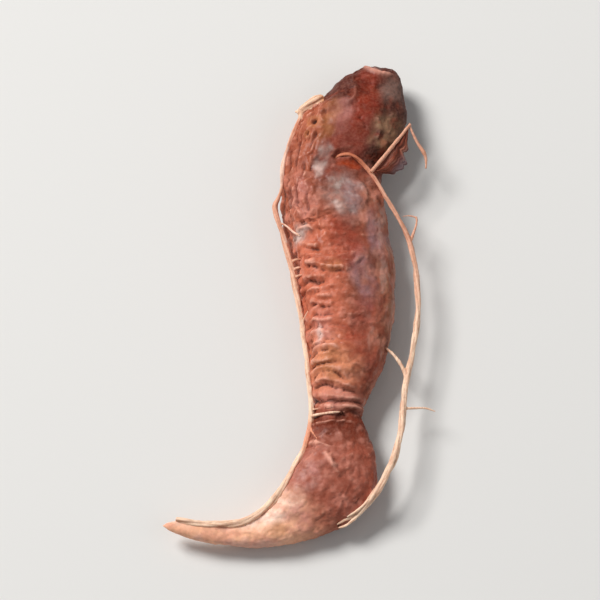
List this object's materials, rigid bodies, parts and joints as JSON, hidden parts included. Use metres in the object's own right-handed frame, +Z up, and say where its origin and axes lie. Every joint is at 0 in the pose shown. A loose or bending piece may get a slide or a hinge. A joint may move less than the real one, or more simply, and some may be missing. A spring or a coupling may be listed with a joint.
{
  "type": "tamarind pod",
  "caption": "Shelled tamarind pod lying on its broad side: wrinkled dried pulp with a waist and a thin curved tail, and pale strings along its edges.",
  "frame": {"origin": "on the surface that the pod lies on, under the middle of its box", "axes": "+Z up, at right angles to the pod's broad side; +Y along the pod towards its blunt stem end; -X the way that the tail curves"},
  "size_m": [0.0506, 0.0948, 0.0118],
  "materials": {
    "pulp": "dried fruit pulp: red-brown, wrinkled, half glossy where it is sticky and dull where it has a greyish bloom",
    "string": "tough plant fibre: pale tan to cream, finely streaked lengthwise, dull"
  },
  "bodies": {
    "root": {"pulp": "pulp", "left_string": "string", "right_string": "string"}
  },
  "joints": []
}
